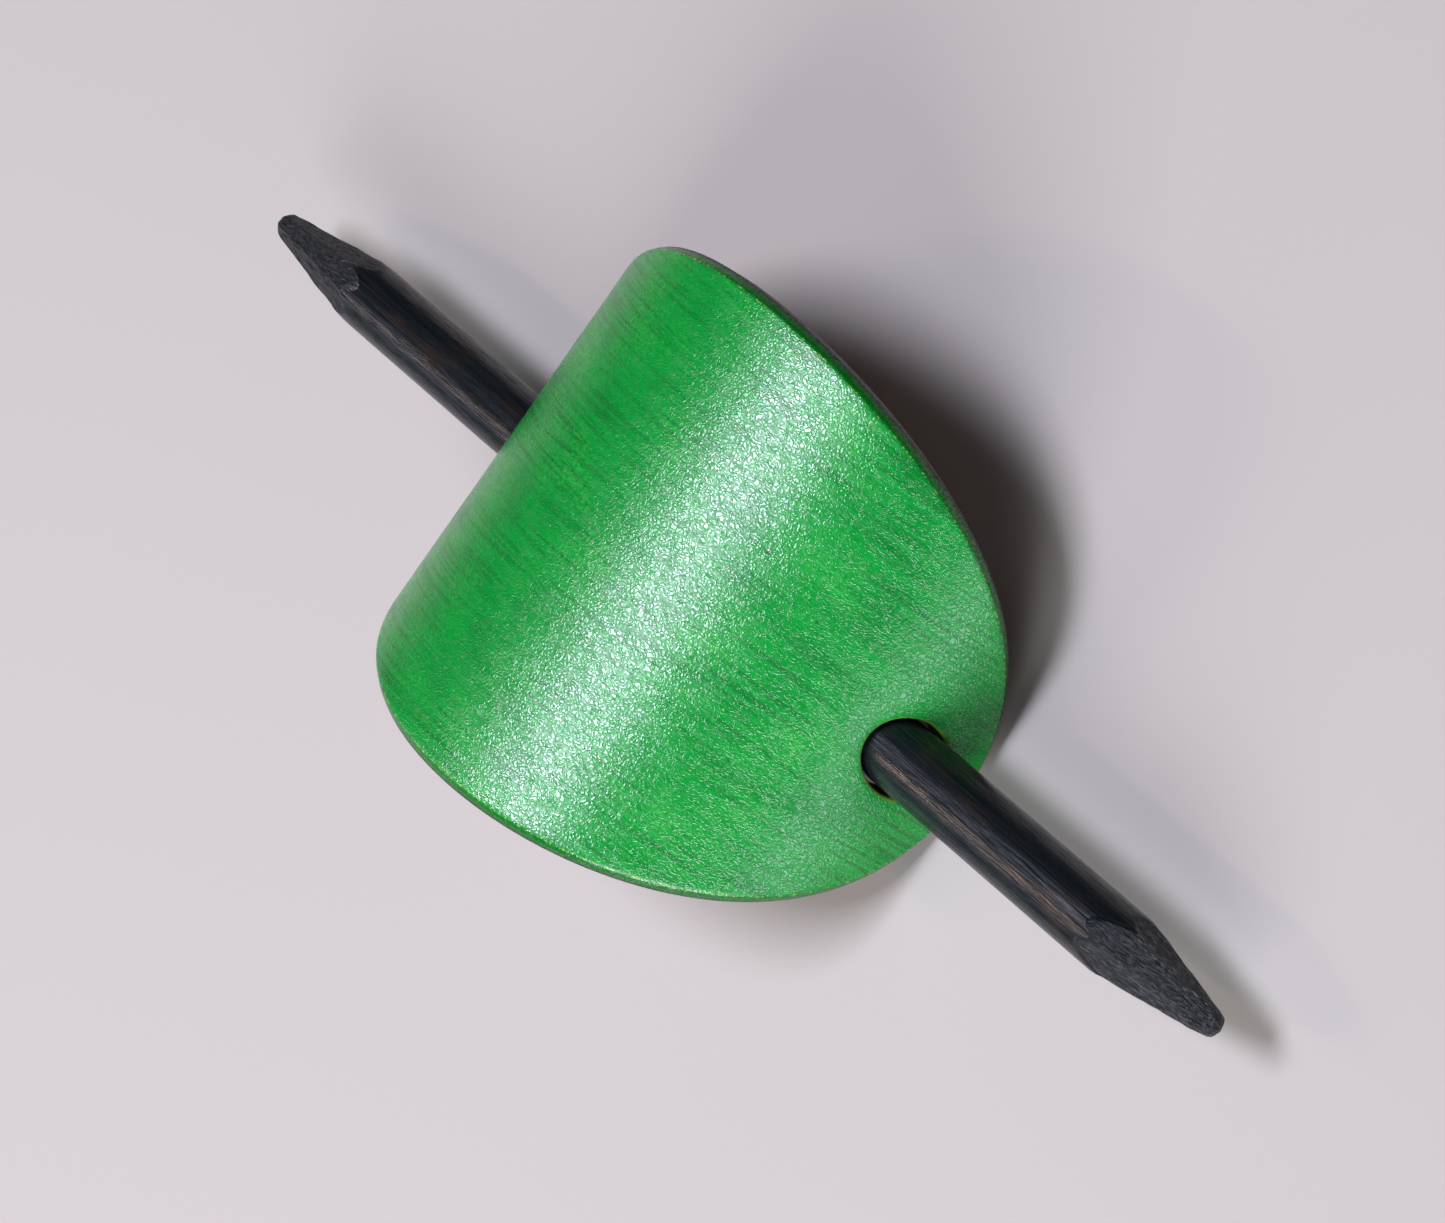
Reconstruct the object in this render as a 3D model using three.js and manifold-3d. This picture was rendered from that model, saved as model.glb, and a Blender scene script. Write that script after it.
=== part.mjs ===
// Leather hair slide: an oval of dyed leather bent into an arch, held shut by a wooden stick.
// Millimetres. X runs along the stick, Y across the slide, Z up through the crown of the arch.
// The slide stands on the two ends of the arch; z = 0 is the surface it stands on.
import * as THREE from "three";
import { mergeVertices } from "three/addons/utils/BufferGeometryUtils.js";
import Module from "manifold-3d";

// ---- leather plate, as cut flat -------------------------------------------------------------
const PLATE_HALF_LENGTH = 42.4; // half the long axis of the oval, measured round the grain side
const PLATE_HALF_WIDTH = 25.2; // half the short axis of the oval
const PLATE_THICKNESS = 3.0;
const EDGE_ROUND = 1.0; // burnished edge radius on both faces
const END_CHORD = 5.0; // width of the blunt end, before the feet are trimmed
const END_FLARE = 0.4; // half width gained by each ring in from the blunt end

// ---- the bend ---------------------------------------------------------------------------------
const BEND_RATE = 0.03; // radians of bend per millimetre at the crown
const BEND_GAIN = 0.0054; // extra radians per millimetre reached at the very end
const FOOT_TRIM = 0.3; // taken off each end so that the slide stands on a flat

// ---- stick and its two holes --------------------------------------------------------------------
const STICK_DIAMETER = 6.5;
const STICK_LENGTH = 135.5;
const STICK_DEPTH = 17.1; // stick axis below the crown
const STICK_OFFSET = 0.75; // the stick sits this far off centre in the arch
const HOLE_DIAMETER = 7.3;
const TAPER_LEFT = 13.0; // length whittled to a point, -X end
const TAPER_RIGHT = 13.0; // length whittled to a point, +X end
const TIP_DIAMETER = 1.9;

// ---- mesh counts ----------------------------------------------------------------------------------
const ALONG = 60; // rows round the bend
const ACROSS = 4; // columns across the flat of the sheet
const EDGE_RINGS = [0, 0.3, 1]; // rings over the rounded edge, as shares of its radius
const BEND_STEPS = 400; // steps of the arch integral
const STICK_SIDES = 40;
const KNIFE_CUTS = 9; // flats left by the knife round each point

const wasm = await Module();
wasm.setup();

/** A manifold solid from a closed three.js geometry. */
function solidOf(geometry) {
  const bare = new THREE.BufferGeometry();
  bare.setAttribute("position", geometry.getAttribute("position").clone());
  if (geometry.index) {
    bare.setIndex(geometry.index.clone());
  }
  const welded = mergeVertices(bare, 1e-4);
  const vertProperties = new Float32Array(welded.getAttribute("position").array);
  const triVerts = new Uint32Array(welded.index.array);
  return new wasm.Manifold(new wasm.Mesh({ numProp: 3, vertProperties, triVerts }));
}

/** A three.js mesh with flat shading from a manifold solid. */
function meshOf(solid, name, material) {
  const raw = solid.getMesh();
  const geometry = new THREE.BufferGeometry();
  geometry.setAttribute("position", new THREE.BufferAttribute(new Float32Array(raw.vertProperties), 3));
  geometry.setIndex(new THREE.BufferAttribute(new Uint32Array(raw.triVerts), 1));
  geometry.computeVertexNormals();
  const mesh = new THREE.Mesh(geometry, material);
  mesh.name = name;
  return mesh;
}

/** Lean of the sheet, in radians, at arc length s from the crown. */
function leanAt(s) {
  return BEND_RATE * s + BEND_GAIN * s * (s / PLATE_HALF_LENGTH) ** 2;
}

/** Position and lean of the grain side at arc length s from the crown. */
function archAt(s) {
  const step = s / BEND_STEPS;
  let x = 0;
  let z = 0;
  for (let i = 0; i < BEND_STEPS; i += 1) {
    const lean = leanAt(step * (i + 0.5));
    x += Math.cos(lean) * step;
    z -= Math.sin(lean) * step;
  }
  return { x, z, lean: leanAt(s) };
}

// Height of the crown once the feet are trimmed.
const CROWN_HEIGHT = -archAt(PLATE_HALF_LENGTH).z - FOOT_TRIM;
const STICK_HEIGHT = CROWN_HEIGHT - STICK_DEPTH;

/** Where a lattice point of the sheet lies: ring from the outline, and share of the row's half width. */
function latticePoint(column, row, columns, rows) {
  const inner = EDGE_RINGS.length - 1;
  const fromEnd = Math.min(column, columns - column);
  const fromSide = Math.min(row, rows - row);
  const atEnd = fromEnd < inner && fromEnd < fromSide;
  const ring = Math.min(fromEnd, fromSide, inner);
  if (atEnd || fromSide >= inner) {
    // Ruled evenly across the sheet between the two sides of this ring.
    return { ring, share: (2 * (row - ring)) / (rows - 2 * ring) - 1 };
  }
  return { ring: Math.min(fromSide, inner), share: Math.sign(row - rows / 2) };
}

/** The bent oval with rounded edges and nothing cut from it yet. */
function bentOval() {
  const inner = EDGE_RINGS.length - 1;
  const rows = 2 * inner + ACROSS;
  const columns = 2 * inner + ALONG;
  const sheet = new THREE.BoxGeometry(columns, rows, 2, columns, rows, 1);
  const position = sheet.getAttribute("position");
  for (let i = 0; i < position.count; i += 1) {
    const column = Math.round(position.getX(i) + columns / 2);
    const row = Math.round(position.getY(i) + rows / 2);
    const { ring, share } = latticePoint(column, row, columns, rows);
    const inset = EDGE_ROUND * EDGE_RINGS[ring];
    const endRing = Math.min(column, columns - column, inner);
    const reach = Math.acos((END_CHORD / 2 + END_FLARE * endRing) / PLATE_HALF_WIDTH);
    const turn = reach * THREE.MathUtils.clamp((column - columns / 2) / (ALONG / 2), -1, 1);
    const y = (PLATE_HALF_WIDTH - inset) * Math.cos(turn) * share;
    const arch = archAt((PLATE_HALF_LENGTH - inset) * Math.sin(turn));
    const rounding = EDGE_ROUND - Math.sqrt(EDGE_ROUND ** 2 - (EDGE_ROUND - inset) ** 2);
    const depth = position.getZ(i) > 0 ? rounding : PLATE_THICKNESS - rounding;
    const x = arch.x - depth * Math.sin(arch.lean);
    const z = CROWN_HEIGHT + arch.z - depth * Math.cos(arch.lean);
    position.setXYZ(i, x, y, z);
  }
  return solidOf(sheet);
}

/** The leather plate: bent oval, two holes in line with the stick, two trimmed feet. */
function leatherPlate() {
  const bore = new THREE.CylinderGeometry(HOLE_DIAMETER / 2, HOLE_DIAMETER / 2, 120, 48);
  bore.rotateZ(Math.PI / 2);
  bore.translate(0, 0, STICK_HEIGHT);
  const below = new THREE.BoxGeometry(120, 80, 10);
  below.translate(0, 0, -5);
  return bentOval().subtract(solidOf(bore)).subtract(solidOf(below)).translate(-STICK_OFFSET, 0, 0);
}

/** A pyramid of knife flats that runs from beyond the stick to its tip at x = STICK_LENGTH / 2. */
function knifePoint(taper, turn) {
  const half = STICK_LENGTH / 2;
  const slope = (STICK_DIAMETER - TIP_DIAMETER) / 2 / taper;
  const flat = Math.cos(Math.PI / KNIFE_CUTS);
  const length = STICK_LENGTH + 40;
  const wide = (TIP_DIAMETER / 2 + slope * length) / flat;
  const narrow = TIP_DIAMETER / 2 / flat;
  const cone = new THREE.CylinderGeometry(narrow, wide, length, KNIFE_CUTS);
  cone.rotateY(turn);
  cone.rotateZ(-Math.PI / 2);
  cone.translate(half - length / 2, 0, 0);
  return cone;
}

/** The wooden stick: round, with both ends whittled to blunt points. */
function woodenStick() {
  const half = STICK_LENGTH / 2;
  const radius = STICK_DIAMETER / 2;
  const profile = [
    new THREE.Vector2(0, -half),
    new THREE.Vector2(TIP_DIAMETER * 0.3, -half),
    new THREE.Vector2(TIP_DIAMETER * 0.5, -half + 0.5),
    new THREE.Vector2(radius, -half + TAPER_LEFT * 0.9),
    new THREE.Vector2(radius, half - TAPER_RIGHT * 0.9),
    new THREE.Vector2(TIP_DIAMETER * 0.5, half - 0.5),
    new THREE.Vector2(TIP_DIAMETER * 0.3, half),
    new THREE.Vector2(0, half),
  ];
  const round = new THREE.LatheGeometry(profile, STICK_SIDES);
  round.rotateZ(-Math.PI / 2);
  const rightPoint = knifePoint(TAPER_RIGHT, 0.35);
  const leftPoint = knifePoint(TAPER_LEFT, 0.1);
  leftPoint.rotateZ(Math.PI);
  const whittled = solidOf(round).intersect(solidOf(rightPoint)).intersect(solidOf(leftPoint));
  return whittled.translate(0, 0, STICK_HEIGHT);
}

const leather = new THREE.MeshStandardMaterial({ color: 0x1c8a2a, roughness: 0.5, metalness: 0 });
const wood = new THREE.MeshStandardMaterial({ color: 0x1b1b1e, roughness: 0.55, metalness: 0 });

const hairSlide = new THREE.Group();
hairSlide.name = "hair_slide";
hairSlide.add(meshOf(leatherPlate(), "leather_plate", leather));
hairSlide.add(meshOf(woodenStick(), "wooden_stick", wood));

export default hairSlide;
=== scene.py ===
"""Leather hair slide with its wooden stick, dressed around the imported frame.

The slide is an oval of vegetable-tanned leather, dyed green on the grain side, bent into an arch
and held shut by a black-stained stick that runs through a punched hole near each end.
Sizes are in millimetres until a mesh is written, and Blender's unit is the metre.
"""

from __future__ import annotations

import logging
import math
from dataclasses import dataclass, field
from enum import Enum

import bmesh
import bpy
import numpy as np
from mathutils import Matrix, Vector, noise
from mathutils.geometry import delaunay_2d_cdt


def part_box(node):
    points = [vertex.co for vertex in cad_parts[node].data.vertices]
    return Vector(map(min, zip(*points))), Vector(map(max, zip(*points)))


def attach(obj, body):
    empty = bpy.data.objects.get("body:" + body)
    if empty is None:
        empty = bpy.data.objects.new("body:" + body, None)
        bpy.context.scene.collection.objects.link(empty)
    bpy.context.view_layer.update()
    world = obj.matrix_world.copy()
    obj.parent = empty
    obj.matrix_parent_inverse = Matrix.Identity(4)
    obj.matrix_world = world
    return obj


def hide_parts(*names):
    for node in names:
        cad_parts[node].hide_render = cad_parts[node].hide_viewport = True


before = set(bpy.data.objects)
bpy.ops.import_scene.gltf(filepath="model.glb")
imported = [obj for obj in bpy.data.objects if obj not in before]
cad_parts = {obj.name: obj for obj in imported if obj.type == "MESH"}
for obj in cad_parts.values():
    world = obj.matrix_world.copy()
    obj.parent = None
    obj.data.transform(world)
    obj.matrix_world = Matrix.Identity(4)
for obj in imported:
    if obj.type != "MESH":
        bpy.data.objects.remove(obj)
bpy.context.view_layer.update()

Tree = bpy.types.NodeTree
Socket = bpy.types.NodeSocket
# A pair is where something begins and where it is full, or how long and how wide it is.
Pair = tuple[float, float]
# A pattern's size along, across and through the sheet.
Size = tuple[float, float, float]
# Pairs of a place and what is found there, in the order of the places.
Profile = tuple[Pair, ...]

MM = 0.001
MATH = "ShaderNodeMath"
VECTOR_MATH = "ShaderNodeVectorMath"
NOISE = "ShaderNodeTexNoise"
CELLS = "ShaderNodeTexVoronoi"
MIX = "ShaderNodeMix"
# A Map Range's inputs go by number: 0 the value, 1 and 2 its range, 3 and 4 the range it gives.
RANGE = "ShaderNodeMapRange"
SMOOTH = {"interpolation_type": "SMOOTHSTEP"}
PLUS = {"operation": "ADD"}
MINUS = {"operation": "SUBTRACT"}
TIMES = {"operation": "MULTIPLY"}
OVER = {"operation": "DIVIDE"}
TIMES_PLUS = {"operation": "MULTIPLY_ADD"}
BLEND = {"data_type": "FLOAT"}
COLOUR = {"data_type": "RGBA"}
LOG = logging.getLogger("hair_slide")


class Body(Enum):
    """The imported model's rigid bodies."""

    PLATE = "plate"
    STICK = "stick"


class Slot(Enum):
    """The record's material slots."""

    LEATHER = "dyed_leather"
    WOOD = "stained_wood"


def linear(hex_colour: str) -> tuple[float, float, float, float]:
    """Turn an sRGB hex colour into linear RGBA.

    Args:
        hex_colour: Six hex digits after a hash, such as "#1c8a2a".

    Returns:
        Linear red, green, blue and an alpha of 1.
    """
    parts = [int(hex_colour[i : i + 2], 16) / 255 for i in (1, 3, 5)]
    return (*(c / 12.92 if c <= 0.04045 else ((c + 0.055) / 1.055) ** 2.4 for c in parts), 1.0)


def add(
    tree: Tree,
    kind: str,
    settings: dict[str, object] | None = None,
    inputs: dict[str | int, object] | None = None,
    output: str | int = 0,
) -> Socket:
    """Add a node, set it up and feed its inputs.

    Args:
        tree: The node tree that gets the node.
        kind: The node's bl_idname.
        settings: Node properties to set before the sockets are looked up.
        inputs: Socket name or index, to a value or to another node's output socket.
        output: Name or index, among the sockets in use, of the output to return.

    Returns:
        The chosen output socket, or the first input of a node with no outputs.
    """
    node = tree.nodes.new(kind)
    for name, value in (settings or {}).items():
        setattr(node, name, value)
    ins = [s for s in node.inputs if s.enabled]
    for key, value in (inputs or {}).items():
        socket = ins[key] if isinstance(key, int) else next(s for s in ins if s.name == key)
        if isinstance(value, Socket):
            tree.links.new(value, socket)
        else:
            socket.default_value = value
    outs = [s for s in node.outputs if s.enabled]
    if not outs:
        return ins[0]
    return outs[output] if isinstance(output, int) else next(s for s in outs if s.name == output)


def coats(tree: Tree, under: Socket | str, layers: list[tuple[Socket, str]]) -> Socket:
    """Lay coats of colour one over another.

    Args:
        tree: The material's tree.
        under: The colour below them all, a socket or a hex colour.
        layers: How much of each coat shows and its hex colour, from the lowest up.

    Returns:
        The finished colour's socket.
    """
    colour = linear(under) if isinstance(under, str) else under
    for shows, over in layers:
        colour = add(tree, MIX, COLOUR, {"Factor": shows, "A": colour, "B": linear(over)})
    return colour


def empty_tree(owner: bpy.types.Material | bpy.types.World) -> Tree:
    """Switch on the nodes of a material or the world, with none in the tree yet.

    Args:
        owner: The material or the world.

    Returns:
        Its node tree.
    """
    owner.use_nodes = True
    owner.node_tree.nodes.clear()
    return owner.node_tree


def face_outwards(mesh: bpy.types.Mesh) -> None:
    """Turn every face of a closed mesh outwards.

    Args:
        mesh: The mesh to turn.
    """
    work = bmesh.new()
    work.from_mesh(mesh)
    bmesh.ops.recalc_face_normals(work, faces=work.faces)
    if work.calc_volume(signed=True) < 0:
        bmesh.ops.reverse_faces(work, faces=work.faces)
    work.to_mesh(mesh)
    work.free()


def store(mesh: bpy.types.Mesh, name: str, kind: str, key: str, values: np.ndarray) -> None:
    """Keep one value for each point of a mesh as a named attribute."""
    layer = mesh.attributes.new(name, kind, "POINT")
    layer.data.foreach_set(key, np.ascontiguousarray(values, dtype=np.float32).ravel())


def put(name: str, data: bpy.types.ID) -> bpy.types.Object:
    """Make an object from a mesh, a lamp or a lens, and link it to the scene.

    Args:
        name: The object's name.
        data: What the object holds.

    Returns:
        The new object, at the origin.
    """
    thing = bpy.data.objects.new(name, data)
    bpy.context.scene.collection.objects.link(thing)
    return thing


def direction(azimuth: float, elevation: float) -> Vector:
    """Unit vector at an azimuth from +X and an elevation, both in degrees."""
    a, e = math.radians(azimuth), math.radians(elevation)
    return Vector((math.cos(a) * math.cos(e), math.sin(a) * math.cos(e), math.sin(e)))


@dataclass(frozen=True)
class Bend:
    """The oval's size as cut, and the law that bends it round the generators of the arch."""

    half_length: float = 42.4
    half_width: float = 25.2
    thickness: float = 3.0
    rate: float = 0.030
    gain: float = 0.0054
    steps: int = 1600

    def lean(self, s: np.ndarray) -> np.ndarray:
        """Lean of the sheet in radians at arc length s from the crown."""
        return self.rate * s + self.gain * s * (s / self.half_length) ** 2

    def height(self, s: np.ndarray, depth: float) -> np.ndarray:
        """Height over the crown of a point at a depth below the grain.

        Args:
            s: Arc lengths from the crown.
            depth: How far below the grain surface.

        Returns:
            Heights, which are negative below the crown.
        """
        grid = np.linspace(0.0, self.half_length, self.steps)
        slope = np.sin(self.lean(grid))
        drop = np.concatenate([[0.0], np.cumsum((slope[1:] + slope[:-1]) / 2 * np.diff(grid))])
        return -np.interp(np.abs(s), grid, drop) - depth * np.cos(self.lean(s))

    def reach(self, height: np.ndarray, depth: float) -> np.ndarray:
        """Arc length, on the +X side, at which the sheet has come down to a height.

        Args:
            height: Heights over the crown, all negative.
            depth: How far below the grain surface the height is met.

        Returns:
            Arc lengths from the crown.
        """
        grid = np.linspace(0.0, self.half_length, self.steps)
        return np.interp(-height, -self.height(grid, depth), grid)


@dataclass(frozen=True)
class DyedLeather:
    """Vegetable-tanned cowhide: dyed by hand, waxed, bevelled and burnished at the edge.

    The eye sees a saturated green laid on in long strokes, a fine crackle of grain that breaks the
    gloss into sparks, a darker bevel where dye pools, and a dark brown burnished edge whose colour
    also carries painted shade on the cut walls and inside the holes.
    """

    deep: str = "#006621"
    body: str = "#00822b"
    pale: str = "#2a9c32"
    bevel: str = "#00560f"
    # Dark burnished edge dye, made darker still as painted shade: it colours the cut walls and the
    # holes' insides, from just under the bevel down.
    edge: str = "#1a120d"
    fibre: str = "#8c9a3e"
    flesh: str = "#8a6340"
    mark: str = "#e2b98a"
    crease: str = "#006a1e"
    follicle: str = "#033d12"
    stroke_size: Size = (16.0, 0.46, 4.0)
    patch_size: Size = (14.0, 7.0, 4.0)
    cloud_size: Size = (9.0, 6.3, 4.0)
    speck_size: Size = (0.5, 0.3, 2.0)
    crease_size: Size = (0.42, 0.24, 1.0)
    # Real grain creases are about 0.2 mm apart, so both are drawn a little coarser to show.
    crackle_size: float = 0.34
    pore_size: Size = (0.33, 0.22, 1.0)
    swell_size: Size = (2.6, 1.3, 2.0)
    wax_size: Size = (3.0, 1.2, 2.0)
    nap_size: Size = (0.5, 0.22, 0.5)
    fray_size: Size = (0.35, 0.35, 0.35)
    # In from the outline: the bevel's dye, and the fibre along its crest, with half its width.
    bevel_band: Pair = (0.95, 0.55)
    crest_line: Pair = (0.86, 0.05)
    # Out from a hole's edge: the ring that the punch has rubbed.
    ring_band: Pair = (0.42, 0.05)
    # Down from the grain: the cut wall's dullness and colour, dark burnished dye with painted shade
    # that starts just under the bevel, then the flesh side's colour and nap.
    dull_band: Pair = (0.2, 0.7)
    burnished_wall_and_shade_band: Pair = (0.45, 0.78)
    under_band: Pair = (2.6, 2.95)
    nap_band: Pair = (2.72, 2.95)
    relief: float = 0.0142
    roughness: float = 0.26
    edge_roughness: float = 0.5
    flesh_roughness: float = 0.9
    ior: float = 1.52

    def material(self) -> bpy.types.Material:
        """Build the leather's material, which reads the flat sheet's own coordinates.

        Returns:
            The material.
        """
        mat = bpy.data.materials.new("veg_tan_leather_hand_dyed_green")
        tree = empty_tree(mat)
        sheet = add(tree, "ShaderNodeAttribute", {"attribute_name": "sheet"}, output="Vector")
        depth = add(tree, "ShaderNodeSeparateXYZ", None, {0: sheet}, "Z")
        margin = add(tree, "ShaderNodeAttribute", {"attribute_name": "margin"}, output="Fac")
        rim = add(tree, "ShaderNodeAttribute", {"attribute_name": "rim"}, output="Fac")
        fray = self._noise(tree, sheet, self.fray_size, detail=3.0)
        colour = self._dye(tree, sheet)
        colour = self._grain_marks(tree, sheet, colour)
        colour = self._cut_edges(tree, colour, depth, margin, rim, fray)
        height = self._crackle(tree, sheet)
        flesh = add(tree, RANGE, SMOOTH, {0: depth, 1: self.nap_band[0], 2: self.nap_band[1]})
        fuzz = self._noise(tree, sheet, self.nap_size, detail=4.0)
        fuzz = add(tree, MATH, TIMES, {0: fuzz, 1: 3.0})
        height = add(tree, MIX, BLEND, {"Factor": flesh, "A": height, "B": fuzz})
        bump = {"Height": height, "Distance": self.relief * MM, "Strength": 1.0}
        normal = add(tree, "ShaderNodeBump", None, bump)
        rough = self._roughness(tree, sheet, depth, flesh)
        # The wax polishes the tops of the grain and leaves the creases dull.
        gloss = add(tree, RANGE, None, {0: height, 1: 0.9, 2: 1.6, 3: 0.25, 4: 1.0})
        look = {
            "Base Color": colour,
            "Roughness": rough,
            "Normal": normal,
            "IOR": self.ior,
            "Specular IOR Level": gloss,
        }
        shader = add(tree, "ShaderNodeBsdfPrincipled", None, look)
        add(tree, "ShaderNodeOutputMaterial", None, {"Surface": shader})
        return mat

    def _noise(self, tree: Tree, coords: Socket, size: Size, detail: float = 2.0) -> Socket:
        """Noise whose features have a size in millimetres along and across the sheet.

        Args:
            tree: The material's tree.
            coords: The flat sheet's coordinates in millimetres.
            size: Feature size along, across and through the sheet.
            detail: Octaves.

        Returns:
            The noise factor's socket.
        """
        scale = tuple(1 / x for x in size)
        placed = add(tree, VECTOR_MATH, TIMES, {0: coords, 1: scale})
        pattern = {"Vector": placed, "Scale": 1.0, "Detail": detail, "Roughness": 0.55}
        return add(tree, NOISE, None, pattern)

    def _dye(self, tree: Tree, sheet: Socket) -> Socket:
        """Dye laid on in long strokes round the bend, over clouds of uneven uptake.

        Args:
            tree: The material's tree.
            sheet: The flat sheet's coordinates in millimetres.

        Returns:
            The dyed grain side's colour.
        """
        strokes = self._noise(tree, sheet, self.stroke_size, detail=4.0)
        clouds = self._noise(tree, sheet, self.cloud_size, detail=3.0)
        specks = self._noise(tree, sheet, self.speck_size, detail=3.0)
        patches = self._noise(tree, sheet, self.patch_size)
        streak = add(tree, RANGE, SMOOTH, {0: strokes, 1: 0.54, 2: 0.38})
        region = add(tree, RANGE, SMOOTH, {0: patches, 1: 0.25, 2: 0.65})
        dark = add(tree, MATH, TIMES, {0: streak, 1: region})
        pooled = add(tree, RANGE, SMOOTH, {0: clouds, 1: 0.5, 2: 0.28})
        pooled = add(tree, MATH, TIMES, {0: pooled, 1: 0.5})
        thin = add(tree, MATH, PLUS, {0: clouds, 1: specks})
        thin = add(tree, RANGE, SMOOTH, {0: thin, 1: 1.0, 2: 1.5})
        creases = self._noise(tree, sheet, self.crease_size)
        sunk = add(tree, RANGE, SMOOTH, {0: creases, 1: 0.5, 2: 0.32})
        sunk = add(tree, MATH, TIMES, {0: sunk, 1: 0.45})
        layers = [(dark, self.deep), (pooled, self.deep), (thin, self.pale), (sunk, self.crease)]
        return coats(tree, self.body, layers)

    def _grain_marks(self, tree: Tree, sheet: Socket, colour: Socket) -> Socket:
        """A few natural marks: dark follicles, and pale scars that took no dye.

        Args:
            tree: The material's tree.
            sheet: The flat sheet's coordinates in millimetres.
            colour: The dyed colour.

        Returns:
            The colour with the marks on it.
        """
        # One cell about every 7 mm, and only some of the cells bear a mark.
        placed = add(tree, VECTOR_MATH, TIMES, {0: sheet, 1: (0.14, 0.14, 0.14)})
        cells = {"Vector": placed, "Scale": 1.0, "Randomness": 1.0}
        near = add(tree, CELLS, {"feature": "F1"}, cells)
        pick = add(tree, CELLS, {"feature": "F1"}, cells, "Color")
        red = add(tree, "ShaderNodeSeparateColor", None, {0: pick}, "Red")
        dot = add(tree, RANGE, SMOOTH, {0: near, 1: 0.045, 2: 0.02})
        chosen = add(tree, RANGE, SMOOTH, {0: red, 1: 0.62, 2: 0.66})
        dark = add(tree, MATH, TIMES, {0: dot, 1: chosen})
        small = add(tree, RANGE, SMOOTH, {0: near, 1: 0.03, 2: 0.012})
        chosen = add(tree, RANGE, SMOOTH, {0: red, 1: 0.2, 2: 0.16})
        pale = add(tree, MATH, TIMES, {0: small, 1: chosen})
        return coats(tree, colour, [(dark, self.follicle), (pale, self.mark)])

    def _cut_edges(
        self,
        tree: Tree,
        colour: Socket,
        depth: Socket,
        margin: Socket,
        rim: Socket,
        fray: Socket,
    ) -> Socket:
        """Colour the bevel, the burnished edge with its painted shade on the cut walls and inside
        the holes, the holes' rims and the flesh side.

        Args:
            tree: The material's tree.
            colour: The grain side's colour.
            depth: Millimetres below the grain.
            margin: Millimetres in from the outline.
            rim: Millimetres out from a hole's edge.
            fray: Fine noise that breaks up each boundary.

        Returns:
            The colour of the whole surface.
        """
        swing = add(tree, MATH, MINUS, {0: fray, 1: 0.5})
        swing = add(tree, MATH, TIMES, {0: swing, 1: 0.5})
        inset = add(tree, MATH, PLUS, {0: margin, 1: swing})
        sunk = add(tree, MATH, PLUS, {0: depth, 1: swing})
        lip = add(tree, MATH, PLUS, {0: rim, 1: swing})
        bevel, ring, burnished_wall_and_shade, under = (
            add(tree, RANGE, SMOOTH, {0: place, 1: begins, 2: full})
            for place, (begins, full) in (
                (inset, self.bevel_band),
                (lip, self.ring_band),
                (sunk, self.burnished_wall_and_shade_band),
                (sunk, self.under_band),
            )
        )
        ring = add(tree, MATH, TIMES, {0: ring, 1: 0.5})
        crest_at, half_width = self.crest_line
        crest = add(tree, MATH, {"operation": "COMPARE"}, {0: inset, 1: crest_at, 2: half_width})
        torn = add(tree, RANGE, SMOOTH, {0: fray, 1: 0.52, 2: 0.62})
        crest = add(tree, MATH, TIMES, {0: crest, 1: torn})
        layers = [(bevel, self.bevel), (crest, self.fibre), (ring, self.fibre)]
        # The cut wall's coat is dark burnished dye plus painted shade, down the holes' insides and
        # in a line just under the bevel.
        layers += [(burnished_wall_and_shade, self.edge), (under, self.flesh)]
        return coats(tree, colour, layers)

    def _crackle(self, tree: Tree, sheet: Socket) -> Socket:
        """Grain relief: small plates between creases, with pores and a slow swell.

        Args:
            tree: The material's tree.
            sheet: The flat sheet's coordinates in millimetres.

        Returns:
            Heights, in units of the relief.
        """
        warp = add(tree, NOISE, None, {"Vector": sheet, "Scale": 1.1, "Detail": 2.0}, "Color")
        warp = add(tree, VECTOR_MATH, {"operation": "SCALE"}, {0: warp, "Scale": 1.3})
        bent = add(tree, VECTOR_MATH, PLUS, {0: sheet, 1: warp})
        size = self.crackle_size
        placed = add(tree, VECTOR_MATH, TIMES, {0: bent, 1: (0.7 / size, 1.15 / size, 1 / size)})
        cells = {"Vector": placed, "Scale": 1.0}
        plates = add(tree, CELLS, {"feature": "DISTANCE_TO_EDGE"}, cells)
        plates = add(tree, RANGE, SMOOTH, {0: plates, 1: 0.0, 2: 0.32})
        pores = self._noise(tree, sheet, self.pore_size, detail=3.0)
        pores = add(tree, MATH, TIMES, {0: pores, 1: 1.5})
        swell = self._noise(tree, sheet, self.swell_size)
        swell = add(tree, MATH, TIMES, {0: swell, 1: 0.3})
        height = add(tree, MATH, PLUS, {0: plates, 1: pores})
        return add(tree, MATH, PLUS, {0: height, 1: swell})

    def _roughness(self, tree: Tree, sheet: Socket, depth: Socket, flesh: Socket) -> Socket:
        """Satin on the grain, duller on the burnished edge, matt on the flesh side.

        Args:
            tree: The material's tree.
            sheet: The flat sheet's coordinates in millimetres.
            depth: Millimetres below the grain.
            flesh: 1 on the flesh side and 0 elsewhere.

        Returns:
            The roughness of the whole surface.
        """
        patch = self._noise(tree, sheet, self.wax_size, detail=3.0)
        low, high = self.roughness - 0.06, self.roughness + 0.06
        rough = add(tree, RANGE, None, {0: patch, 1: 0.3, 2: 0.7, 3: low, 4: high})
        edge = add(tree, RANGE, SMOOTH, {0: depth, 1: self.dull_band[0], 2: self.dull_band[1]})
        rough = add(tree, MIX, BLEND, {"Factor": edge, "A": rough, "B": self.edge_roughness})
        return add(tree, MIX, BLEND, {"Factor": flesh, "A": rough, "B": self.flesh_roughness})


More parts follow.
